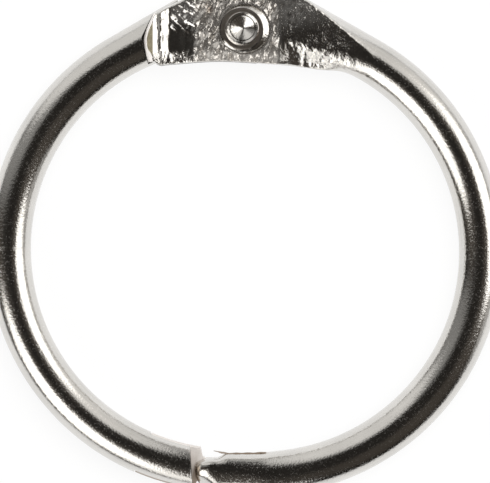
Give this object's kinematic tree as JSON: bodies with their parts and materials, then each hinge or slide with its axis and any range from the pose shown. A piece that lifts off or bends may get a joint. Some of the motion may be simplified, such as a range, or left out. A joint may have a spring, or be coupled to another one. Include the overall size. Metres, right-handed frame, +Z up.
{
  "type": "hinged binder ring",
  "caption": "Hinged wire ring that holds loose punched sheets: two half rings, a riveted fork-and-tongue hinge, and a flat blade that closes into a slot.",
  "frame": {"origin": "below the middle of the closed ring, on the surface that it lies on", "axes": "+Z up along the rivet's axis, +Y from the closure to the hinge, +X across the ring towards the fork half"},
  "size_m": [0.0306, 0.0296, 0.0033],
  "materials": {
    "plated_wire": "bright nickel plating on steel wire, rough where the hinge plate was pressed",
    "plated_rivet": "bright nickel plating with fine tool marks"
  },
  "bodies": {
    "fork_half": {"fork_half_ring": "plated_wire", "hinge_rivet": "plated_rivet"},
    "tongue_half": {"tongue_half_ring": "plated_wire"}
  },
  "joints": [
    {"name": "ring_hinge", "type": "hinge", "parent": "fork_half", "child": "tongue_half", "pos_m": [-0.0002, 0.01284, 0.0016], "axis": [0, 0, -1], "range_deg": [0, 95]}
  ]
}
